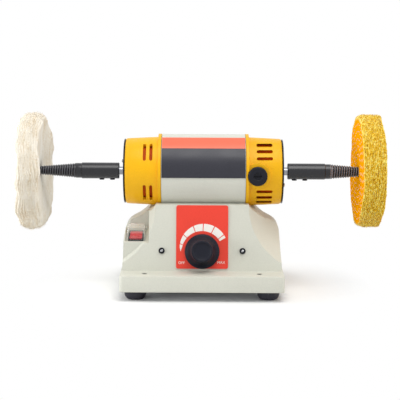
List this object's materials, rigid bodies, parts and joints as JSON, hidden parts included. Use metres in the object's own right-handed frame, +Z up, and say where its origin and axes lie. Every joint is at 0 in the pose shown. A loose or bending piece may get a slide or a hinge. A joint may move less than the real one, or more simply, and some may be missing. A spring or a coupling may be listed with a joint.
{
  "type": "bench buffer",
  "caption": "Double-ended bench buffer: cast base with speed knob and rocker switch, motor with yellow end caps, tapered threaded spindles, a white and a yellow polishing wheel.",
  "frame": {"origin": "middle of the base on the surface that the feet stand on", "axes": "+X along the motor shaft to the yellow wheel, -Y out of the front panel with the knob, +Z up"},
  "size_m": [0.3531, 0.144, 0.175],
  "materials": {
    "cream_paint": "smooth satin paint on a casting",
    "grey_paint": "satin paint on steel tube",
    "yellow_paint": "satin yellow paint",
    "dial_red": "printed red overlay",
    "label_foil": "printed foil, charcoal and coral",
    "black_plastic": "moulded black plastic",
    "black_rubber": "matt moulded rubber",
    "red_plastic": "glossy red plastic",
    "clear_plastic": "clear flexible plastic",
    "board_green": "lacquered circuit board",
    "zinc_steel": "zinc plate",
    "bright_steel": "ground steel",
    "black_steel": "black oxide",
    "ferrite": "matt ferrite",
    "copper": "lacquered copper wire and bars",
    "brass": "turned brass",
    "carbon": "pressed carbon",
    "white_cotton": "loose white cotton discs with a fluffy rim",
    "yellow_cotton": "yellow treated cloth discs, stitched in rings"
  },
  "bodies": {
    "frame": {"base_housing": "cream_paint", "bottom_plate": "zinc_steel", "foot_screw_front_left": "zinc_steel", "foot_screw_front_right": "zinc_steel", "foot_screw_rear_left": "zinc_steel", "foot_screw_rear_right": "zinc_steel", "foot_front_left": "black_rubber", "foot_front_right": "black_rubber", "foot_rear_left": "black_rubber", "foot_rear_right": "black_rubber", "cord_gland": "black_rubber", "dial_plate": "dial_red", "speed_potentiometer": "zinc_steel", "control_board": "board_green", "panel_screw_left": "black_steel", "panel_screw_right": "black_steel", "end_plate_left": "black_steel", "end_plate_right": "black_steel", "switch_housing": "black_plastic", "brush_cap_front": "black_plastic", "brush_cap_rear": "black_plastic", "switch_cover": "clear_plastic", "motor_tube": "grey_paint", "motor_nameplate": "label_foil", "magnet_front": "ferrite", "magnet_rear": "ferrite", "end_cap_left": "yellow_paint", "end_cap_right": "yellow_paint", "plate_screw_left_front": "zinc_steel", "plate_screw_left_rear": "zinc_steel", "plate_screw_right_front": "zinc_steel", "plate_screw_right_rear": "zinc_steel", "brush_holder_front": "brass", "brush_holder_rear": "brass", "brush_spring_front": "bright_steel", "brush_spring_rear": "bright_steel", "bearing_outer_left": "bright_steel", "bearing_outer_right": "bright_steel", "motor_bolt_left": "zinc_steel", "motor_bolt_right": "zinc_steel"},
    "rotor": {"motor_shaft": "bright_steel", "armature_core": "bright_steel", "armature_winding": "copper", "commutator": "copper", "cooling_fan": "black_plastic", "bearing_inner_left": "bright_steel", "bearing_inner_right": "bright_steel", "spindle_left": "black_steel", "spindle_right": "black_steel", "set_screw_left_inner": "black_steel", "set_screw_left_outer": "black_steel", "set_screw_right_inner": "black_steel", "set_screw_right_outer": "black_steel", "white_buff": "white_cotton", "yellow_buff": "yellow_cotton"},
    "knob": {"speed_knob": "black_plastic", "potentiometer_shaft": "zinc_steel"},
    "rocker": {"switch_rocker": "red_plastic"},
    "brush_front": {"carbon_brush_front": "carbon"},
    "brush_rear": {"carbon_brush_rear": "carbon"}
  },
  "joints": [
    {"name": "shaft_spin", "type": "hinge", "parent": "frame", "child": "rotor", "pos_m": [0.00095, 0, 0.117], "axis": [1, 0, 0], "continuous": true},
    {"name": "knob_turn", "type": "hinge", "parent": "frame", "child": "knob", "pos_m": [0, -0.04362, 0.044], "axis": [0, 0.9789, -0.2045], "range_deg": [0, 280]},
    {"name": "rocker_tilt", "type": "hinge", "parent": "frame", "child": "rocker", "pos_m": [-0.065, -0.02691, 0.05543], "axis": [1, 0, 0], "range_deg": [0, 18]},
    {"name": "brush_front_slide", "type": "slide", "parent": "frame", "child": "brush_front", "axis": [0, -1, 0], "range_m": [0, 0.003], "stiffness_N_per_m": 200, "springref_m": -0.004, "deforming": ["brush_spring_front"]},
    {"name": "brush_rear_slide", "type": "slide", "parent": "frame", "child": "brush_rear", "axis": [0, 1, 0], "range_m": [0, 0.003], "stiffness_N_per_m": 200, "springref_m": -0.004, "deforming": ["brush_spring_rear"]}
  ]
}
